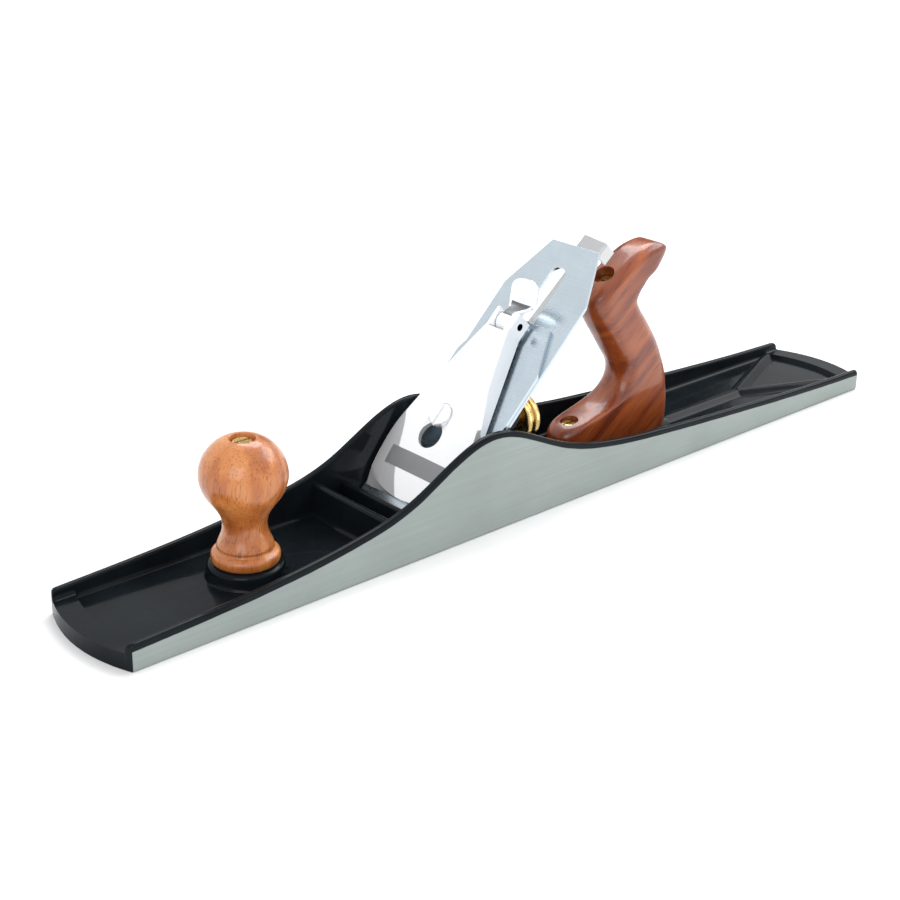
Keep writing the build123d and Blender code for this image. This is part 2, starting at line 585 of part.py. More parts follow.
PARTS = {
    "body": make_body,
    "knob": make_knob,
    "knob_stud": make_knob_stud,
    "knob_nut": make_knob_nut,
    "tote": make_tote,
    "tote_rod": make_tote_rod,
    "tote_nut": make_tote_nut,
    "tote_toe_screw": make_tote_toe_screw,
    "frog": make_frog,
    "frog_screws": make_frog_screws,
    "frog_washers": make_frog_washers,
    "frog_clip": make_frog_clip,
    "frog_clip_screw": make_frog_clip_screw,
    "frog_adjusting_screw": make_frog_adjusting_screw,
    "depth_stud": make_depth_stud,
    "depth_collar": make_depth_collar,
    "depth_wheel": make_depth_wheel,
    "yoke": make_yoke,
    "yoke_pin": make_yoke_pin,
    "lateral_lever": make_lateral_lever,
    "lateral_rivet": make_lateral_rivet,
    "lateral_disc": make_lateral_disc,
    "iron": make_iron,
    "cap_iron": make_cap_iron,
    "cap_iron_screw": make_cap_iron_screw,
    "lever_cap": make_lever_cap,
    "lever_cap_screw": make_lever_cap_screw,
    "cam_lever": make_cam_lever,
    "cam_pin": make_cam_pin,
    "cap_spring": make_cap_spring,
    "spring_rivet": make_spring_rivet,
}

for name, make in PARTS.items():
    export_step(make(), f"parts/{name}.step")
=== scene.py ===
import math

import bmesh
import bpy
from mathutils import Matrix, Vector


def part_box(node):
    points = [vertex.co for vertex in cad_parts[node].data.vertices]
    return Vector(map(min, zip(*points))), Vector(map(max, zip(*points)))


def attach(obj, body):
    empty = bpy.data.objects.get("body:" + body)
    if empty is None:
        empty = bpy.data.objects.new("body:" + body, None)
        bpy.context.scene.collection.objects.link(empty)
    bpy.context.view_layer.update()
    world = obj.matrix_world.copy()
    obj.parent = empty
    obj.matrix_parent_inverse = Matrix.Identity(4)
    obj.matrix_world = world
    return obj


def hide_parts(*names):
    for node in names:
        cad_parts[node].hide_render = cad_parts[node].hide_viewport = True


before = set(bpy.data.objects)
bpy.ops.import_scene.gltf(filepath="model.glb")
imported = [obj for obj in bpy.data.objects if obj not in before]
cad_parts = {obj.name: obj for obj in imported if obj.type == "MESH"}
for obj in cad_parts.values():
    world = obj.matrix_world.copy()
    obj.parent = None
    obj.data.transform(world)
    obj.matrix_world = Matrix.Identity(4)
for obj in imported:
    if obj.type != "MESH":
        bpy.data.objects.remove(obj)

# Visual model of a jointer-size bench hand plane. Lengths in the helpers below are millimetres and are
# scaled to metres when a mesh is made. The bed's axes are u up the bed, v across it and n out of it.

MM = 0.001
S = math.sqrt(0.5)
MOUTH_X = 93.0
HALF = 35.0
INNER = 31.2
FLOOR = 6.0
END = 279.5
RIM_TOP = 8.4               # raised rims at toe and heel
RIM_WIDTH = 12.0
MOUTH_REAR = 87.0           # the mouth's opening in the floor of the tray
MOUTH_FRONT = 98.0
MOUTH_SOLE = 94.0           # its rear edge in the sole
BOSS_TOP = 13.5             # where the knob stands
NUT_SEAT = 73.3             # floor of the knob's counterbore
ROD_FOOT = (-103.5, 0.0, 10.0)
ROD_TOP = (-59.0, 0.0, 108.0)
TOE_SCREW_X = -37.0
KEYHOLE_U = 50.5
CLAMP_U = 62.0              # lever cap screw
SCREW_SEAT = 16.1           # height of the recess round that screw
FACE_START = 32.0           # beyond this the lever cap's face runs in straight rows
CAM_U, CAM_N = 124.3, 11.7  # centre of the cam's lobe
KNURL_TEETH = 84

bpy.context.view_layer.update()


# ---- geometry helpers ----------------------------------------------------------------------------
def bed(u, v, n):
    """A point given in the bed's axes."""
    return (MOUTH_X + S * (n - u), -v, S * (u + n))


def smoothstep(a, b, x):
    t = min(1.0, max(0.0, (x - a) / (b - a)))
    return t * t * (3 - 2 * t)


def curve_through(points):
    """A natural cubic spline through points (x, y) with rising x, as a function."""
    xs = [p[0] for p in points]
    ys = [p[1] for p in points]
    count = len(points)
    gap = [xs[i + 1] - xs[i] for i in range(count - 1)]
    low = [0.0] * count
    rest = [0.0] * count
    for i in range(1, count - 1):
        slope = 3 * ((ys[i + 1] - ys[i]) / gap[i] - (ys[i] - ys[i - 1]) / gap[i - 1])
        pivot = 2 * (xs[i + 1] - xs[i - 1]) - gap[i - 1] * low[i - 1]
        low[i] = gap[i] / pivot
        rest[i] = (slope - gap[i - 1] * rest[i - 1]) / pivot
    bend = [0.0] * count
    for i in range(count - 2, 0, -1):
        bend[i] = rest[i] - low[i] * bend[i + 1]

    def value(x):
        x = min(max(x, xs[0]), xs[-1])
        i = 0
        while i < count - 2 and x > xs[i + 1]:
            i += 1
        t = x - xs[i]
        first = (ys[i + 1] - ys[i]) / gap[i] - gap[i] * (2 * bend[i] + bend[i + 1]) / 3
        return ys[i] + t * (first + t * (bend[i] + t * (bend[i + 1] - bend[i]) / (3 * gap[i])))

    return value


def along(rows, steps):
    """Rows of numbers joined by Catmull-Rom curves with the given number of steps between rows."""
    out = []
    last = len(rows) - 1
    for i in range(last):
        a, b, c, d = (rows[max(0, i - 1)], rows[i], rows[i + 1], rows[min(last, i + 2)])
        for k in range(steps):
            t = k / steps
            out.append([0.5 * (2 * q + (r - p) * t + (2 * p - 5 * q + 4 * r - s) * t * t
                               + (3 * q - p - 3 * r + s) * t ** 3)
                        for p, q, r, s in zip(a, b, c, d)])
    out.append(list(rows[last]))
    return out


def join_rings(rings, closed=True, caps=(False, False)):
    """Points and faces of a skin over rings of equal length, with optional flat ends."""
    count = len(rings[0])
    points = [p for ring in rings for p in ring]
    faces = []
    for i in range(len(rings) - 1):
        for j in range(count if closed else count - 1):
            k = (j + 1) % count
            faces.append((i * count + j, i * count + k, (i + 1) * count + k, (i + 1) * count + j))
    if caps[0]:
        faces.append(tuple(reversed(range(count))))
    if caps[1]:
        faces.append(tuple(range((len(rings) - 1) * count, len(rings) * count)))
    return points, faces


def turned(profile, centre, segments=96, axis="Z"):
    """A shape turned about an axis from (radius, position) pairs; equal first and last close it."""
    rings = []
    for r, h in profile:
        ring = []
        for k in range(segments):
            a = 2 * math.pi * k / segments
            c, s = r * math.cos(a), r * math.sin(a)
            if axis == "Z":
                ring.append((centre[0] + c, centre[1] + s, h))
            else:
                ring.append((h, centre[1] + c, centre[2] + s))
        rings.append(ring)
    caps = (profile[0][0] > 0.01, profile[-1][0] > 0.01)
    return join_rings(rings, True, caps)


def merged(parts):
    """Several (points, faces) pieces as one."""
    points, faces = [], []
    for more, shapes in parts:
        start = len(points)
        points.extend(more)
        faces.extend(tuple(i + start for i in face) for face in shapes)
    return points, faces


def make(name, shape, materials, sharp=35.0, weld=True):
    """A mesh object from (points, faces), smooth except across sharp edges."""
    mesh = bpy.data.meshes.new(name)
    mesh.from_pydata([(x * MM, y * MM, z * MM) for x, y, z in shape[0]], [], shape[1])
    for material in materials:
        mesh.materials.append(material)
    obj = bpy.data.objects.new(name, mesh)
    bpy.context.scene.collection.objects.link(obj)
    tidy(obj, sharp, weld)
    return obj


def tidy(obj, sharp, weld=True):
    work = bmesh.new()
    work.from_mesh(obj.data)
    if weld:
        bmesh.ops.remove_doubles(work, verts=work.verts, dist=2e-6)
    bmesh.ops.recalc_face_normals(work, faces=work.faces)
    work.to_mesh(obj.data)
    work.free()
    obj.data.shade_smooth()
    obj.data.set_sharp_from_angle(angle=math.radians(sharp))


def carve(obj, cutters, sharp=35.0):
    """Cuts other objects out of this one and removes them."""
    for cutter in cutters:
        cut = obj.modifiers.new("cut", "BOOLEAN")
        cut.operation = "DIFFERENCE"
        cut.solver = "EXACT"
        cut.object = cutter
    bpy.context.view_layer.update()
    whole = obj.evaluated_get(bpy.context.evaluated_depsgraph_get())
    mesh = bpy.data.meshes.new_from_object(whole)
    obj.modifiers.clear()
    obj.data = mesh
    for cutter in cutters:
        bpy.data.objects.remove(cutter)
    tidy(obj, sharp)


def soften(obj, width, segments=2, angle=38.0):
    """Small rounded edges."""
    bevel = obj.modifiers.new("edges", "BEVEL")
    bevel.width = width * MM
    bevel.segments = segments
    bevel.limit_method = "ANGLE"
    bevel.angle_limit = math.radians(angle)
    bevel.harden_normals = True
    bevel.use_clamp_overlap = True


def from_cad(node, name, material, width, segments=2):
    """A copy of a CAD node with its coplanar triangles joined and its edges rounded."""
    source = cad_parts[node]
    obj = bpy.data.objects.new(name, source.data.copy())
    bpy.context.scene.collection.objects.link(obj)
    obj.data.materials.clear()
    obj.data.materials.append(material)
    work = bmesh.new()
    work.from_mesh(obj.data)
    bmesh.ops.remove_doubles(work, verts=work.verts, dist=2e-6)
    bmesh.ops.dissolve_limit(work, angle_limit=math.radians(1.0), verts=work.verts, edges=work.edges)
    work.to_mesh(obj.data)
    work.free()
    obj.data.shade_smooth()
    obj.data.set_sharp_from_angle(angle=math.radians(35))
    soften(obj, width, segments)
    return obj


def show(obj, body, nodes):
    """The object rides on a body and stands for CAD nodes."""
    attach(obj, body)
    if nodes:
        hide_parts(*nodes)
    return obj


# ---- materials -----------------------------------------------------------------------------------
def new_material(name):
    material = bpy.data.materials.new(name)
    material.use_nodes = True
    tree = material.node_tree
    return material, tree, tree.nodes["Principled BSDF"]


def add(tree, kind, inputs=None, **settings):
    """A shader node with its settings and its inputs, each a value or another node's socket."""
    node = tree.nodes.new(kind)
    for key, value in settings.items():
        setattr(node, key, value)
    for key, value in (inputs or {}).items():
        if isinstance(value, bpy.types.NodeSocket):
            tree.links.new(value, node.inputs[key])
        else:
            node.inputs[key].default_value = value
    return node


def place(tree, scale=(1, 1, 1), turn=(0, 0, 0)):
    """Object coordinates in metres, turned and then stretched."""
    spot = add(tree, "ShaderNodeTexCoord").outputs["Object"]
    turned_spot = add(tree, "ShaderNodeMapping", {"Vector": spot, "Rotation": turn})
    return add(tree, "ShaderNodeMapping", {"Vector": turned_spot.outputs[0], "Scale": scale}).outputs[0]


def noise(tree, where, scale, detail=4.0, rough=0.55, distortion=0.0):
    return add(tree, "ShaderNodeTexNoise", {"Vector": where, "Scale": scale, "Detail": detail,
                                            "Roughness": rough, "Distortion": distortion}).outputs[0]


def ramp(tree, factor, stops):
    """Colours by factor; stops are (position, colour)."""
    node = add(tree, "ShaderNodeValToRGB", {"Fac": factor})
    band = node.color_ramp
    while len(band.elements) < len(stops):
        band.elements.new(0.5)
    for element, (position, colour) in zip(band.elements, stops):
        element.position = position
        element.color = (*colour, 1.0)
    return node.outputs[0]


def span(tree, factor, low, high, start=0.0, end=1.0):
    """A number moved from one range to another."""
    return add(tree, "ShaderNodeMapRange", {0: factor, 1: start, 2: end, 3: low, 4: high}).outputs[0]


def bump(tree, shader, height, strength, distance, under=None):
    inputs = {"Height": height, "Strength": strength, "Distance": distance}
    if under is not None:
        inputs["Normal"] = under
    node = add(tree, "ShaderNodeBump", inputs)
    if shader is not None:
        tree.links.new(node.outputs[0], shader.inputs["Normal"])
    return node.outputs[0]


def feed(tree, shader, **sockets):
    """Sets shader inputs; names use underscores for spaces."""
    for key, value in sockets.items():
        slot_name = key.replace("_", " ")
        if isinstance(value, bpy.types.NodeSocket):
            tree.links.new(value, shader.inputs[slot_name])
        else:
            shader.inputs[slot_name].default_value = value


def paint_enamel(tree, shader):
    """Thick glossy black japanning over rough casting."""
    where = place(tree)
    broad = noise(tree, where, 35.0)
    feed(tree, shader, Base_Color=ramp(tree, broad, [(0.3, (0.004, 0.006, 0.008)),
                                                     (0.75, (0.009, 0.013, 0.016))]))
    specks = noise(tree, where, 900.0, 2.0)
    feed(tree, shader, Roughness=span(tree, specks, 0.10, 0.26, 0.35, 0.75))
    feed(tree, shader, Coat_Weight=0.12, Coat_Roughness=0.04, Specular_IOR_Level=0.05)
    peel = bump(tree, None, noise(tree, where, 260.0, 3.0), 0.16, 0.0004)
    bump(tree, shader, noise(tree, where, 60.0, 2.0), 0.12, 0.001, peel)


def paint_ground(tree, shader):
    """Surface-ground cast iron with grinding lines along the plane."""
    lines = noise(tree, place(tree, (7, 900, 900)), 1.0, 5.0, 0.7)
    cloud = noise(tree, place(tree, (1, 1.5, 1.5)), 22.0, 5.0)
    both = add(tree, "ShaderNodeMix", {0: 0.45, 2: cloud, 3: lines}).outputs[0]
    feed(tree, shader, Base_Color=ramp(tree, both, [(0.25, (0.240, 0.278, 0.265)),
                                                    (0.55, (0.300, 0.342, 0.327)),
                                                    (0.80, (0.375, 0.415, 0.400))]))
    feed(tree, shader, Metallic=0.35, Roughness=span(tree, both, 0.42, 0.60, 0.3, 0.7))
    bump(tree, shader, lines, 0.25, 0.00008)


def enamel():
    material, tree, shader = new_material("japanned iron")
    paint_enamel(tree, shader)
    return material


def ground():
    material, tree, shader = new_material("ground iron")
    paint_ground(tree, shader)
    return material


def side_finish():
    """Ground cheek whose upper edge is under the japanning that wraps over the rail."""
    material, tree, shader = new_material("ground cheek under enamel edge")
    paint_ground(tree, shader)
    top = add(tree, "ShaderNodeBsdfPrincipled")
    paint_enamel(tree, top)
    drop = add(tree, "ShaderNodeAttribute", attribute_name="below_rail").outputs["Fac"]
    wander = noise(tree, place(tree, (1, 1, 1)), 90.0, 3.0)
    edge = add(tree, "ShaderNodeMath", {0: drop, 1: span(tree, wander, -0.25, 0.25)},
               operation="ADD").outputs[0]
    mask = span(tree, edge, 0.0, 1.0, 3.0, 3.35)
    mix = add(tree, "ShaderNodeMixShader", {0: mask, 1: top.outputs[0], 2: shader.outputs[0]})
    tree.links.new(mix.outputs[0], tree.nodes["Material Output"].inputs["Surface"])
    return material


def wood(name, turn, tones, gloss, ring_scale):
    """Polished hardwood: growth bands, fine pores and a thin lacquer."""
    material, tree, shader = new_material(name)
    grain = place(tree, (1.0, 1.0, 0.16), turn)
    bands = add(tree, "ShaderNodeTexWave", {"Vector": grain, "Scale": ring_scale, "Distortion": 13.0,
                                            "Detail": 4.0, "Detail Scale": 1.6,
                                            "Detail Roughness": 0.62},
                wave_type="BANDS", bands_direction="X").outputs[1]
    cloud = noise(tree, grain, 70.0, 5.0, 0.6, 0.6)
    both = add(tree, "ShaderNodeMix", {0: 0.76, 2: bands, 3: cloud}).outputs[0]
    colour = ramp(tree, both, [(0.12, tones[0]), (0.42, tones[1]), (0.78, tones[2])])
    pores = noise(tree, place(tree, (1, 1, 0.045), turn), 1500.0, 2.0)
    dark = span(tree, pores, 0.45, 1.0, 0.30, 0.46)
    shade = add(tree, "ShaderNodeMix", {"Factor": 1.0, "A": colour, "B": dark},
                data_type="RGBA", blend_type="MULTIPLY").outputs["Result"]
    feed(tree, shader, Base_Color=shade, Roughness=span(tree, pores, 0.42, 0.30, 0.3, 0.6))
    feed(tree, shader, Coat_Weight=gloss, Coat_Roughness=0.10)
    bump(tree, shader, pores, 0.12, 0.00012)
    return material


def metal(name, colour, rough, stretch=(1, 1, 1), fine=700.0, metallic=1.0, relief=0.12, tint=0.12):
    """Metal with soft colour drift and fine tool marks that can be stretched along an axis."""
    material, tree, shader = new_material(name)
    marks = noise(tree, place(tree, stretch), fine, 4.0, 0.65)
    drift = noise(tree, place(tree), 55.0, 3.0)
    low = tuple(c * (1 - tint) for c in colour)
    high = tuple(min(1.0, c * (1 + tint)) for c in colour)
    both = add(tree, "ShaderNodeMix", {0: 0.4, 2: drift, 3: marks}).outputs[0]
    feed(tree, shader, Base_Color=ramp(tree, both, [(0.3, low), (0.7, high)]), Metallic=metallic,
         Roughness=span(tree, both, rough[0], rough[1], 0.3, 0.7))
    bump(tree, shader, marks, relief, 0.00006)
    return material


def bed_metal(name, colour, rough, relief=0.15):
    """Steel ground across the bed's width: marks run along Y."""
    return metal(name, colour, rough, (1.0, 0.03, 1.0), 1400.0, 1.0, relief, 0.07)


ENAMEL = enamel()
GROUND = ground()
CHEEK = side_finish()
KNOB_WOOD = wood("knob hardwood", (0.05, 0.08, 0.3),
                 [(0.170, 0.032, 0.007), (0.440, 0.130, 0.028), (0.640, 0.245, 0.065)], 0.50, 20.0)
TOTE_WOOD = wood("tote hardwood", (0.0, 0.95, 0.0),
                 [(0.055, 0.007, 0.002), (0.210, 0.036, 0.007), (0.375, 0.090, 0.017)], 0.40, 17.0)
BRASS = metal("turned brass", (0.80, 0.58, 0.24), (0.16, 0.34), (6.0, 1.0, 1.0), 500.0)
STEEL = metal("machined steel", (0.56, 0.57, 0.58), (0.24, 0.42))
# Dark steel of the cap spring; also used as painted shade in the cam lever's trough.
DARK_STEEL_AND_PAINTED_SHADE = metal("spring steel and painted shade", (0.16, 0.17, 0.18), (0.30, 0.48))
CUTTER = bed_metal("cutter steel", (0.56, 0.64, 0.70), (0.20, 0.32))
# Metallic only 0.55, so part of this chrome is a diffuse white: a painted reflection of the bright
# surroundings on top of its real mirror.
CHROME_WITH_PAINTED_REFLECTION = metal("polished chrome", (0.93, 0.94, 0.96), (0.030, 0.075), fine=240.0, metallic=0.55,
               relief=0.02, tint=0.02)
BAND = metal("etched band", (0.26, 0.27, 0.28), (0.45, 0.6), fine=1500.0, metallic=0.6)


# ---- body casting --------------------------------------------------------------------------------
rail = curve_through([(-279.5, 12.8), (-234, 14.0), (-160, 17.6), (-79, 22.8), (-25, 29.0),
                      (1, 35.8), (26, 46.9), (54, 55.3), (84, 46.1), (108, 33.5), (139, 24.6),
                      (192, 17.6), (240, 14.6), (279.5, 13.0)])


def bow(x, y):
    """How far a point moves outwards so that toe and heel are bowed in plan."""
    toe = 7.5 * smoothstep(205, 257, x)
    heel = 9.0 * smoothstep(-190, -256, x)
    return (toe - heel) * (1 - (y / HALF) ** 2)


def body_section(x, floor, nip):
    """Upper and lower points (x, y, z) across the casting at one station, left to right."""
    top = rail(x) - nip
    r = 1.5
    fillet = min(2.6, (top - r - floor) * 0.75)
    half = [(y, floor) for y in (0.0, 6.0, 12.0, 18.0, 24.0, INNER - fillet)]
    for k in range(1, 6):
        a = math.radians(18 * k)
        half.append((INNER - fillet + fillet * math.sin(a), floor + fillet * (1 - math.cos(a))))
    for k in range(6):
        a = math.radians(18 * k)
        half.append((INNER + r - r * math.cos(a), top - r + r * math.sin(a)))
    for k in range(6):
        a = math.radians(18 * k)
        half.append((HALF - r + r * math.sin(a), top - r + r * math.cos(a)))
    full = [(-y, z) for y, z in reversed(half[1:])] + half
    upper = [(x + bow(x, y), y, z) for y, z in full]
    lower = [(x + bow(x, y), math.copysign(min(abs(y), HALF - 0.5), y), 0.0) for y, _ in full]
    return upper, lower


def body_stations():
    """Positions along the plane with the floor height and how far the rail's end is rounded down."""
    toe, heel = END - 7.5, -END + 9.0
    stops = []
    for d in (0.0, 0.15, 0.5, 1.1, 2.0, 3.0, 5.0, 8.0, 11.0, 12.0, 13.0, 16.0):
        nip = 2.0 - math.sqrt(max(0.0, 4.0 - (2.0 - min(d, 2.0)) ** 2))
        floor = RIM_TOP if d <= RIM_WIDTH else FLOOR
        stops.append((toe - d, floor, nip))
        stops.append((heel + d, floor, nip))
    x = heel + 20.0
    while x < toe - 18.0:
        if not 84.0 < x < 101.0:
            stops.append((x, FLOOR, 0.0))
        x += 3.5
    stops.append((MOUTH_REAR, FLOOR, 0.0))
    stops.append((MOUTH_FRONT, FLOOR, 0.0))
    return sorted(stops)


def body_shell():
    """Points, faces, per-face materials and each point's depth below the rail."""
    points, faces, finish, depth = [], [], [], []
    stations = body_stations()
    count = 0
    for x, floor, nip in stations:
        upper, lower = body_section(x, floor, nip)
        count = len(upper)
        if x == MOUTH_REAR:
            lower = [(MOUTH_SOLE, y, z) for _, y, z in lower]
        side_left = (upper[0][0], -HALF, 0.5)
        side_right = (upper[-1][0], HALF, 0.5)
        if x == MOUTH_REAR:
            side_left, side_right = (MOUTH_SOLE, -HALF, 0.5), (MOUTH_SOLE, HALF, 0.5)
        row = upper + [side_right] + list(reversed(lower)) + [side_left]
        points.extend(row)
        depth.extend(rail(x) - z for _, _, z in row)
    ring = 2 * count + 2
    last = len(stations) - 1

    def face(*corners, kind=0):
        faces.append(corners)
        finish.append(kind)

    for i in range(last):
        gap = stations[i][0] == MOUTH_REAR
        for j in range(ring):
            k = (j + 1) % ring
            a, b, c, d = i * ring + j, i * ring + k, (i + 1) * ring + k, (i + 1) * ring + j
            inside = abs(points[a][1]) <= INNER + 0.01 and abs(points[b][1]) <= INNER + 0.01
            level = points[a][2] < FLOOR + 0.01 and points[b][2] < FLOOR + 0.01
            if gap and inside and level:
                continue
            if j in (count - 1, ring - 1):
                kind = 1
            elif j >= count:
                kind = 2
            else:
                kind = 0
            face(a, b, c, d, kind=kind)
        if gap:
            for row in (i, i + 1):
                low = [row * ring + j for j in range(count) if abs(points[j][1]) <= INNER - 2.5]
                for p, q in zip(low, low[1:]):
                    j, k = p - row * ring, q - row * ring
                    face(p, q, row * ring + ring - 2 - k, row * ring + ring - 2 - j, kind=0)
    for row in (0, last):
        start = row * ring
        for j in range(count - 1):
            face(start + j, start + j + 1, start + ring - 3 - j, start + ring - 2 - j, kind=0)
        face(start + count - 1, start + count, start + count + 1, kind=0)
        face(start, start + ring - 1, start + ring - 2, kind=0)
    return points, faces, finish, depth


def cross_rib(x0, x1, top):
    """A rib across the front tray with a rounded top and filleted foot."""
    line = [(x0 - 3.0, FLOOR - 0.3), (x0 - 1.4, FLOOR + 0.25), (x0 - 0.4, FLOOR + 1.2),
            (x0, FLOOR + 2.8)]
    r = min(1.8, (x1 - x0) / 2 - 0.1)
    for k in range(6):
        a = math.radians(18 * k)
        line.append((x0 + r - r * math.cos(a), top - r + r * math.sin(a)))
    line += [(x0 + x1 - x, z) for x, z in reversed(line)]
    rings = [[(x, y, z) for x, z in line] for y in (-INNER - 0.4, -10, 10, INNER + 0.4)]
    return join_rings(rings, True, (True, True))


def low_ridge(start, end, half_width, top):
    """A soft ridge on the tray floor between two plan points."""
    dx, dy = end[0] - start[0], end[1] - start[1]
    length = math.hypot(dx, dy)
    ux, uy = dx / length, dy / length
    line = [(-half_width - 1.6, FLOOR - 0.3), (-half_width, FLOOR + 0.4),
            (-half_width * 0.72, FLOOR + 1.4), (-half_width * 0.45, top - 0.35),
            (-half_width * 0.25, top), (half_width * 0.25, top), (half_width * 0.45, top - 0.35),
            (half_width * 0.72, FLOOR + 1.4), (half_width, FLOOR + 0.4),
            (half_width + 1.6, FLOOR - 0.3)]
    rings = []
    for k in range(9):
        t = length * k / 8
        rings.append([(start[0] + ux * t - uy * o, start[1] + uy * t + ux * o, z) for o, z in line])
    return join_rings(rings, True, (True, True))


def stadium(x0, x1, half_width, z, grow=0.0, per_end=16):
    """A ring round a round-ended slot shape at one height."""
    r = half_width + grow
    a, b = x0 + half_width, x1 - half_width
    ring = []
    for k in range(per_end + 1):
        t = math.pi * (k / per_end - 0.5)
        ring.append((b + r * math.cos(t), r * math.sin(t), z))
    for k in range(per_end + 1):
        t = math.pi * (k / per_end + 0.5)
        ring.append((a + r * math.cos(t), r * math.sin(t), z))
    return ring


def slab(x0, x1, y0, y1, z0, z1):
    """A plain box between corners."""
    low = [(x0, y0, z0), (x1, y0, z0), (x1, y1, z0), (x0, y1, z0)]
    high = [(x, y, z1) for x, y, _ in low]
    return join_rings([low, high], True, (True, True))


def knob_x():
    """Centre of the front knob along the plane."""
    low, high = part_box("knob")
    return (low[0] + high[0]) / 2 / MM


def build_body():
    """Body casting with its boss, tote pad, frog seat, lug and ribs."""
    points, faces, finish, depth = body_shell()
    boss = turned([(20.4, 5.8), (19.9, 6.4), (19.4, 7.4), (19.2, 9.0), (19.1, 11.6), (18.6, 12.8),
                   (17.6, 13.45), (3.0, BOSS_TOP)], (knob_x(), 0), 96)
    pad = join_rings([stadium(-119, -22, 12.5, 5.7, 2.4), stadium(-119, -22, 12.5, 6.6, 1.2),
                      stadium(-119, -22, 12.5, 8.2, 0.5), stadium(-119, -22, 12.5, 9.6, 0.1),
                      stadium(-119, -22, 12.5, 9.98, -0.5)], True, (True, True))
    seat = slab(24, 83, -27, 27, 5.5, 9.97)
    lug = slab(32, 40, -5, 5, 5.5, 20.6)
    extra = merged([boss, pad, seat, lug, cross_rib(117.3, 121.8, 23.5), cross_rib(99.2, 103.0, 19.5),
                    low_ridge((-190, 0), (-116, 0), 4.2, 9.0),
                    low_ridge((-190, 0), (-259, 28.8), 4.2, 9.0),
                    low_ridge((-190, 0), (-259, -28.8), 4.2, 9.0)])
    start = len(points)
    points = points + extra[0]
    faces = faces + [tuple(i + start for i in face) for face in extra[1]]
    finish = finish + [0] * len(extra[1])
    depth = depth + [0.0] * len(extra[0])
    obj = make("body_casting", (points, faces), [ENAMEL, CHEEK, GROUND], 40.0, weld=False)
    obj.data.polygons.foreach_set("material_index", finish)
    mark = obj.data.attributes.new("below_rail", "FLOAT", "POINT")
    mark.data.foreach_set("value", depth)
    show(obj, "plane_body", ["body"])


# ---- handles -------------------------------------------------------------------------------------
def build_knob():
    """Turned front knob, as (radius, height) points from its bead to the counterbore."""
    profile = [(3.1, BOSS_TOP), (15.4, BOSS_TOP), (16.5, 14.5), (16.9, 16.6), (16.5, 18.6), (15.2, 19.8),
               (14.1, 20.5), (13.7, 21.5), (13.9, 22.4), (13.6, 23.6), (12.3, 26.6), (11.3, 29.4),
               (10.9, 32.5), (11.1, 35.5), (12.4, 39.5), (15.0, 43.6), (18.4, 48.4), (20.5, 53.0),
               (21.4, 57.8), (20.8, 63.3), (18.7, 68.3), (15.0, 72.9), (11.5, 75.5), (8.6, 76.8),
               (7.2, 77.15)]
    body = along(profile[1:], 4)
    top = [(6.6, 77.0), (6.35, 76.5), (6.2, NUT_SEAT), (3.1, NUT_SEAT)]
    shape = turned([profile[0]] + body + top, (knob_x(), 0), 128)
    obj = make("knob_wood", shape, [KNOB_WOOD], 50.0)
    show(obj, "plane_body", ["knob"])


def soft_rectangle(length, width, radius, side_steps=6, end_steps=3, corner_steps=7):
    """Ring of (along, across) points: a rectangle of half sizes with rounded corners."""
    r = min(radius, length * 0.96, width * 0.96)
    ring = []
    corners = [(length - r, width - r, 0), (-(length - r), width - r, 90),
               (-(length - r), -(width - r), 180), (length - r, -(width - r), 270)]
    for index, (cx, cy, turn) in enumerate(corners):
        for k in range(corner_steps + 1):
            a = math.radians(turn + 90 * k / corner_steps)
            ring.append((cx + r * math.cos(a), cy + r * math.sin(a)))
        nx, ny, _ = corners[(index + 1) % 4]
        steps = side_steps if index % 2 == 0 else end_steps
        b = math.radians(turn + 90)
        px, py = cx + r * math.cos(b), cy + r * math.sin(b)
        qx, qy = nx + r * math.cos(b), ny + r * math.sin(b)
        for k in range(1, steps):
            ring.append((px + (qx - px) * k / steps, py + (qy - py) * k / steps))
    return ring


def cylinder(name, base, axis, r, length):
    """A closed cylinder used as a cutter."""
    axis = Vector(axis).normalized()
    side = axis.orthogonal().normalized()
    other = axis.cross(side)
    rings = []
    for t in (0.0, length):
        rings.append([tuple(Vector(base) + axis * t + side * (r * math.cos(a)) + other * (r * math.sin(a)))
                      for a in (2 * math.pi * k / 48 for k in range(48))])
    return make(name, join_rings(rings, True, (True, True)), [])


# Front edge, back edge (x, z), half thickness and edge radius of the tote from foot to horn.
TOTE = [(-26.0, 10.0, -114.0, 10.0, 10.9, 10.4), (-23.8, 15.5, -114.3, 15.5, 10.9, 10.4),
        (-24.8, 21.8, -114.4, 22.0, 10.9, 10.3), (-30.0, 26.0, -113.9, 28.5, 10.9, 10.2),
        (-43.0, 28.9, -112.5, 35.0, 11.0, 10.0), (-57.0, 32.4, -110.8, 41.5, 11.3, 9.8),
        (-66.8, 38.0, -108.4, 48.5, 11.4, 9.8), (-71.2, 46.0, -105.6, 55.0, 11.4, 9.8),
        (-70.2, 54.0, -102.2, 62.0, 11.4, 9.8), (-64.5, 62.4, -98.0, 68.6, 11.4, 9.8),
        (-56.8, 73.2, -91.2, 78.0, 11.4, 9.8), (-49.8, 83.0, -84.8, 86.0, 11.3, 9.6),
        (-45.4, 91.0, -81.6, 92.0, 11.2, 9.4), (-44.6, 98.0, -82.8, 96.6, 11.2, 9.0),
        (-49.0, 103.3, -85.8, 100.4, 11.2, 8.6), (-57.4, 109.2, -89.4, 104.2, 11.2, 8.2),
        (-68.2, 115.6, -94.2, 107.6, 11.4, 7.0), (-78.0, 120.6, -97.0, 110.4, 11.2, 7.0),
        (-86.5, 123.0, -99.2, 113.0, 10.8, 6.6), (-93.5, 123.4, -100.5, 115.8, 10.0, 5.0),
        (-98.0, 122.0, -100.9, 117.8, 9.0, 4.0), (-99.6, 120.8, -100.8, 118.9, 8.2, 3.0)]


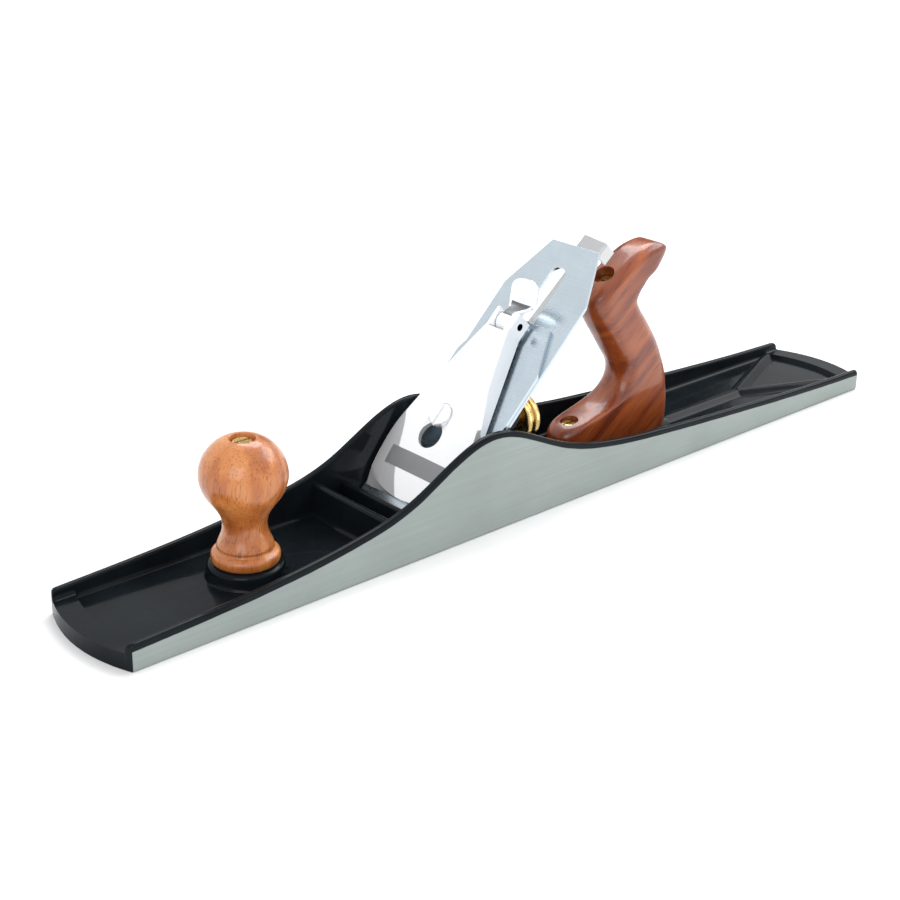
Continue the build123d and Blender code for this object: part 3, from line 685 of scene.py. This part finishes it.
def build_tote():
    """Rear handle lofted through its sections, with the bores for its nut and its toe screw."""
    rings = []
    for fx, fz, bx, bz, half, radius in along([list(row) for row in TOTE], 5):
        cx, cz = (fx + bx) / 2, (fz + bz) / 2
        length = math.hypot(fx - bx, fz - bz) / 2
        ex, ez = (fx - bx) / (2 * length), (fz - bz) / (2 * length)
        rings.append([(cx + ex * a, b, cz + ez * a) for a, b in soft_rectangle(length, half, radius)])
    obj = make("tote_wood", join_rings(rings, True, (True, True)), [TOTE_WOOD], 50.0)
    foot, top = Vector(ROD_FOOT), Vector(ROD_TOP)
    axis = (top - foot).normalized()
    length = (top - foot).length
    carve(obj, [cylinder("bore", foot + axis * (length - 7.0), axis, 6.2, 40),
                cylinder("toe_bore", (TOE_SCREW_X, 0, 24.0), (0, 0, 1), 5.2, 20)], 50.0)
    show(obj, "plane_body", ["tote"])


# ---- lever cap -----------------------------------------------------------------------------------
ridge = curve_through([(6, 7.6), (14, 9.6), (36, 14.35), (60, 17.0), (95, 18.9), (133, 19.0)])
flare = curve_through([(13.8, 29.0), (40, 29.4), (51, 28.4), (66, 23.8), (92, 15.9), (118, 8.0),
                       (129, 8.0)])


def cap_half_width(u):
    if u > 118.0:
        return 8.0
    if u > 66.0:
        return 23.8 - 15.8 * (u - 66.0) / 52.0
    return flare(u)


def cap_arc(v):
    """Where the polished face ends and the nose bevels begin."""
    return 27.1 - 13.0 * math.sqrt(max(0.0, 1.0 - (v / 29.0) ** 2))


def cap_face(u, v, sink=0.0):
    """Height of the lever cap's crowned face."""
    drop = 1.1 + 1.9 * smoothstep(14, 60, u)
    return ridge(u) - drop * (v / 31.0) ** 2 - sink


def cap_rows(inset, sink, u0, u1):
    """Rows of the cap's upper skin, from one side to the other, each with its rounded edges."""
    rows = []
    across = [k / 24 for k in range(-24, 25)]
    edge = 0.9
    stops = []
    if sink == 0.0:
        stops += [("nose", k / 5) for k in range(5)] + [("face", k / 6) for k in range(6)]
        u0 = FACE_START
    steps = 44
    stops += [("u", u0 + (u1 - u0) * k / steps) for k in range(steps + 1)]
    for kind, value in stops:
        row = []
        for w in across:
            guess = w * 28.0
            if kind == "nose":
                u = 14.0 + (cap_arc(guess) - 14.0) * value
            elif kind == "face":
                u = cap_arc(guess) + (FACE_START - cap_arc(guess)) * value
            else:
                u = value
            width = cap_half_width(u) - inset
            v = w * (width - edge)
            if kind == "nose":
                rim = cap_arc(guess)
                n = 6.95 + (cap_face(rim, v) - 6.95) * (u - 14.0) / max(0.01, rim - 14.0)
            else:
                n = cap_face(u, v, sink)
            row.append((u, v, n))
        first, final = row[0], row[-1]
        curl_low, curl_high = [], []
        for k in range(1, 5):
            a = math.radians(22.5 * k)
            out, down = edge * math.sin(a), edge * (1 - math.cos(a))
            curl_low.insert(0, (first[0], first[1] - out, max(6.7, first[2] - down)))
            curl_high.append((final[0], final[1] + out, max(6.7, final[2] - down)))
        rows.append(curl_low + row + curl_high)
    return rows


def cap_block(inset, sink, bottom, u0, u1):
    """Closed block under the cap's skin."""
    rings = []
    for row in cap_rows(inset, sink, u0, u1):
        left, right = row[0], row[-1]
        ring = row + [(right[0], right[1], bottom), (left[0], left[1], bottom)]
        rings.append([bed(*p) for p in ring])
    return join_rings(rings, True, (True, True))


def bed_cylinder(name, u, v, r, n0, n1):
    return cylinder(name, bed(u, v, n0), (S, 0, S), r, n1 - n0)


def bed_slab(name, u0, u1, v0, v1, n0, n1):
    low = [bed(u0, v0, n0), bed(u1, v0, n0), bed(u1, v1, n0), bed(u0, v1, n0)]
    high = [bed(u0, v0, n1), bed(u1, v0, n1), bed(u1, v1, n1), bed(u0, v1, n1)]
    return make(name, join_rings([low, high], True, (True, True)), [])


def build_lever_cap():
    """Crowned cap, hollowed and cut for its screw and cam, and the plain band on its face."""
    obj = make("lever_cap_shell", cap_block(0.0, 0.0, 6.67, 14.0, 129.0), [CHROME_WITH_PAINTED_REFLECTION], 28.0)
    hollow = make("hollow", cap_block(3.0, 2.8, -2.0, 33.0, 116.8), [])
    cutters = [hollow,
               bed_slab("fork", 117.0, 140.0, -5.3, 5.3, 0, 30),
               bed_cylinder("keyhole", KEYHOLE_U, 0, 7.4, 0, 30),
               bed_slab("key_slot", KEYHOLE_U, CLAMP_U + 0.6, -3.6, 3.6, 0, 30),
               bed_cylinder("key_end", CLAMP_U + 0.6, 0, 3.6, 0, 30),
               bed_cylinder("seat_end", CLAMP_U, 0, 7.2, SCREW_SEAT, 30),
               bed_slab("seat", KEYHOLE_U + 1.5, CLAMP_U, -7.2, 7.2, SCREW_SEAT, 30)]
    carve(obj, cutters, 28.0)
    show(obj, "lever_cap", ["lever_cap"])
    rows = []
    for k in range(9):
        u = 28.2 + 10.2 * k / 8
        rows.append([bed(u, v, cap_face(u, v) + 0.06) for v in (21.0 * j / 12 for j in range(-12, 13))])
    band = make("lever_cap_band", join_rings(rows, False), [BAND], 30.0)
    show(band, "lever_cap", [])


def cam_half_width(u):
    waist = 4.9 - 0.9 * smoothstep(122, 128.5, u)
    wide = waist + (9.8 - waist) * smoothstep(128.5, 139.5, u)
    if u > 143.0:
        wide *= math.sqrt(max(0.0, 1.0 - ((u - 143.0) / 5.6) ** 2)) ** 0.8
    return wide


def build_cam_lever():
    """Cam lever: a curled thumb plate whose trough is painted dark as shade, over a round lobe."""
    top = curve_through([(120.5, 16.0), (124, 17.7), (128, 17.0), (132, 14.6), (136, 13.2),
                         (140, 14.4), (143.5, 16.9), (146.5, 18.4), (148.6, 18.7)])
    rings = []
    for k in range(49):
        u = 120.8 + (148.4 - 120.8) * (1 - (1 - k / 48) ** 1.25)
        width = max(0.6, cam_half_width(u))
        height = top(u)
        thick = 3.4 - 1.6 * smoothstep(126, 142, u)
        cup = 0.9 * smoothstep(129, 137, u) * (1 - smoothstep(139, 146, u))
        ring = []
        for w in (j / 10 for j in range(-10, 11)):
            ring.append((u, w * width, height - cup * (1 - w * w) - 0.35 * w ** 6))
        for w in (j / 10 for j in range(10, -11, -1)):
            ring.append((u, w * width * 0.97, height - thick - cup * (1 - w * w) * 0.6))
        rings.append([bed(*p) for p in ring])
    plate = join_rings(rings, True, (True, True))
    lobe_rings = []
    for v in (-4.9, -4.6, 4.6, 4.9):
        r = 6.0 if abs(v) < 4.8 else 5.7
        lobe_rings.append([bed(CAM_U + r * math.cos(a), v, CAM_N + r * math.sin(a))
                           for a in (2 * math.pi * k / 48 for k in range(48))])
    lobe = join_rings(lobe_rings, True, (True, True))
    obj = make("cam_lever_plate", merged([plate, lobe]), [CHROME_WITH_PAINTED_REFLECTION, DARK_STEEL_AND_PAINTED_SHADE], 40.0)
    # Faces in the trough under the thumb plate take the dark steel: painted shade of the hollow there.
    for face in obj.data.polygons:
        x, y, z = face.center
        u = (z - x) / (MM * math.sqrt(2)) + MOUTH_X * S
        n = (z + x) / (MM * math.sqrt(2)) - MOUTH_X * S
        if 126.5 < u < 137.0 and n > top(u) - 1.3 and abs(y) < 0.82 * cam_half_width(u) * MM:
            face.material_index = 1
    show(obj, "cam_lever", ["cam_lever"])


# ---- depth wheel ---------------------------------------------------------------------------------
def build_wheel():
    """Depth wheel: two knurled bands with a groove between, placed from its CAD box."""
    low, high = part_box("depth_wheel")
    shift = low[0] / MM + 13.0
    height = (low[2] + high[2]) / 2 / MM
    profile = [(5.6, -11.2, 0), (9.2, -11.2, 0), (9.8, -11.6, 0), (10.2, -12.7, 0), (11.2, -13.0, 0),
               (11.9, -12.8, 0.3), (12.62, -12.2, 1), (12.66, -10.6, 1), (12.62, -9.3, 1),
               (12.1, -8.9, 0.3), (11.4, -8.8, 0), (11.3, -8.0, 0), (11.4, -7.2, 0), (12.1, -7.1, 0.3),
               (12.62, -6.7, 1), (12.66, -5.2, 1), (12.62, -3.8, 1), (11.9, -3.2, 0.3),
               (11.0, -3.0, 0), (5.6, -3.0, 0)]
    rings = []
    for r, x, knurl in profile:
        ring = []
        for k in range(KNURL_TEETH * 4):
            a = 2 * math.pi * k / (KNURL_TEETH * 4)
            wave = -0.32 * knurl * (0.5 - 0.5 * math.cos(a * KNURL_TEETH))
            ring.append((x + shift, (r + wave) * math.cos(a), height + (r + wave) * math.sin(a)))
        rings.append(ring)
    rings.append(rings[0])
    obj = make("depth_wheel_knurled", join_rings(rings, True), [BRASS], 40.0)
    show(obj, "depth_wheel", ["depth_wheel"])


# ---- pieces that keep their CAD shape, with softened edges -----------------------------------------
def build_small_pieces():
    """CAD shapes with rounded edges, and plain finishes for the nodes shown as they are."""
    pieces = [("iron", "iron_blade", CUTTER, 0.22, "iron_set", "cutter_steel"),
              ("cap_iron", "cap_iron_plate", CUTTER, 0.25, "iron_set", "cutter_steel"),
              ("cap_iron_screw", "cap_iron_screw_head", STEEL, 0.2, "cap_iron_screw", "steel"),
              ("frog", "frog_casting", ENAMEL, 0.5, "frog", "black_japan"),
              ("yoke", "yoke_casting", ENAMEL, 0.3, "yoke", "black_japan"),
              ("lateral_lever", "lateral_lever_strip", STEEL, 0.25, "lateral_lever", "steel"),
              ("lever_cap_screw", "lever_cap_screw_head", CHROME_WITH_PAINTED_REFLECTION, 0.2, "frog", "steel")]
    for node, name, material, width, body, slot in pieces:
        show(from_cad(node, name, material, width), body, [node])
    finishes = {"knob_nut": BRASS, "tote_nut": BRASS, "tote_toe_screw": BRASS, "depth_collar": BRASS,
                "knob_stud": STEEL, "tote_rod": STEEL, "frog_screws": STEEL, "frog_washers": STEEL,
                "frog_clip": STEEL, "frog_clip_screw": STEEL, "frog_adjusting_screw": STEEL,
                "depth_stud": STEEL, "yoke_pin": STEEL, "lateral_rivet": STEEL, "lateral_disc": STEEL,
                "cam_pin": STEEL, "cap_spring": DARK_STEEL_AND_PAINTED_SHADE, "spring_rivet": STEEL}
    for node, material in finishes.items():
        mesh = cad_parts[node].data
        mesh.materials.clear()
        mesh.materials.append(material)


# ---- stage ---------------------------------------------------------------------------------------
def build_stage():
    """Pale floor, a dark card that the tray reflects, soft lights and the camera."""
    mesh = bpy.data.meshes.new("floor")
    r = 6.0
    mesh.from_pydata([(-r, -r, 0), (r, -r, 0), (r, r, 0), (-r, r, 0)], [], [(0, 1, 2, 3)])
    floor = bpy.data.objects.new("floor", mesh)
    bpy.context.scene.collection.objects.link(floor)
    floor.location.z = -0.0002
    material, tree, shader = new_material("pale floor")
    grain = noise(tree, place(tree), 40.0, 3.0)
    feed(tree, shader, Base_Color=ramp(tree, grain, [(0.3, (0.86, 0.865, 0.87)),
                                                     (0.7, (0.89, 0.89, 0.895))]), Roughness=0.7)
    mesh.materials.append(material)

    black, tree, shader = new_material("black card")
    feed(tree, shader, Base_Color=(0.004, 0.004, 0.004, 1.0), Roughness=0.9)
    toward = Vector((-0.68, -0.73, 0.46)).normalized()
    card_mesh = bpy.data.meshes.new("dark_card")
    card_mesh.from_pydata([(-0.36, -0.34, 0), (0.36, -0.34, 0), (0.36, 0.34, 0), (-0.36, 0.34, 0)],
                          [], [(0, 1, 2, 3)])
    card_mesh.materials.append(black)
    card = bpy.data.objects.new("dark_card", card_mesh)
    bpy.context.scene.collection.objects.link(card)
    card.location = toward * 1.4
    card.rotation_euler = toward.to_track_quat("Z", "Y").to_euler()
    card.visible_shadow = False
    card.visible_diffuse = False

    world = bpy.data.worlds.new("studio")
    bpy.context.scene.world = world
    world.use_nodes = True
    world.node_tree.nodes["Background"].inputs[0].default_value = (1.0, 1.0, 1.0, 1.0)
    world.node_tree.nodes["Background"].inputs[1].default_value = 1.0

    lamps = [("key", (-0.9, -0.8, 1.7), (1.2, 1.0), 20.0), ("fill", (1.5, 1.0, 1.1), (1.2, 1.2), 10.0),
             ("rim", (-1.3, 0.3, 1.2), (1.2, 0.8), 12.0)]
    for name, spot, span_size, power in lamps:
        light = bpy.data.lights.new(name, "AREA")
        light.shape = "RECTANGLE"
        light.size, light.size_y = span_size
        light.energy = power
        lamp = bpy.data.objects.new(name, light)
        lamp.location = spot
        lamp.rotation_euler = (Vector((0, 0, 0.05)) - Vector(spot)).to_track_quat("-Z", "Y").to_euler()
        bpy.context.scene.collection.objects.link(lamp)

    camera = bpy.data.cameras.new("camera")
    camera.sensor_width = 36.0
    camera.lens = 64.0
    camera.clip_end = 30.0
    eye = bpy.data.objects.new("camera", camera)
    right = Vector((-0.7394, 0.6729, 0.0231))
    up = Vector((-0.2521, -0.3085, 0.9172))
    back = right.cross(up)
    eye.matrix_world = Matrix(((right.x, up.x, back.x, 0.5815), (right.y, up.y, back.y, 0.5678),
                               (right.z, up.z, back.z, 0.3704), (0, 0, 0, 1)))
    bpy.context.scene.collection.objects.link(eye)
    bpy.context.scene.camera = eye
    bpy.context.scene.view_settings.view_transform = "Standard"


build_body()
build_knob()
build_tote()
build_lever_cap()
build_cam_lever()
build_wheel()
build_small_pieces()
build_stage()
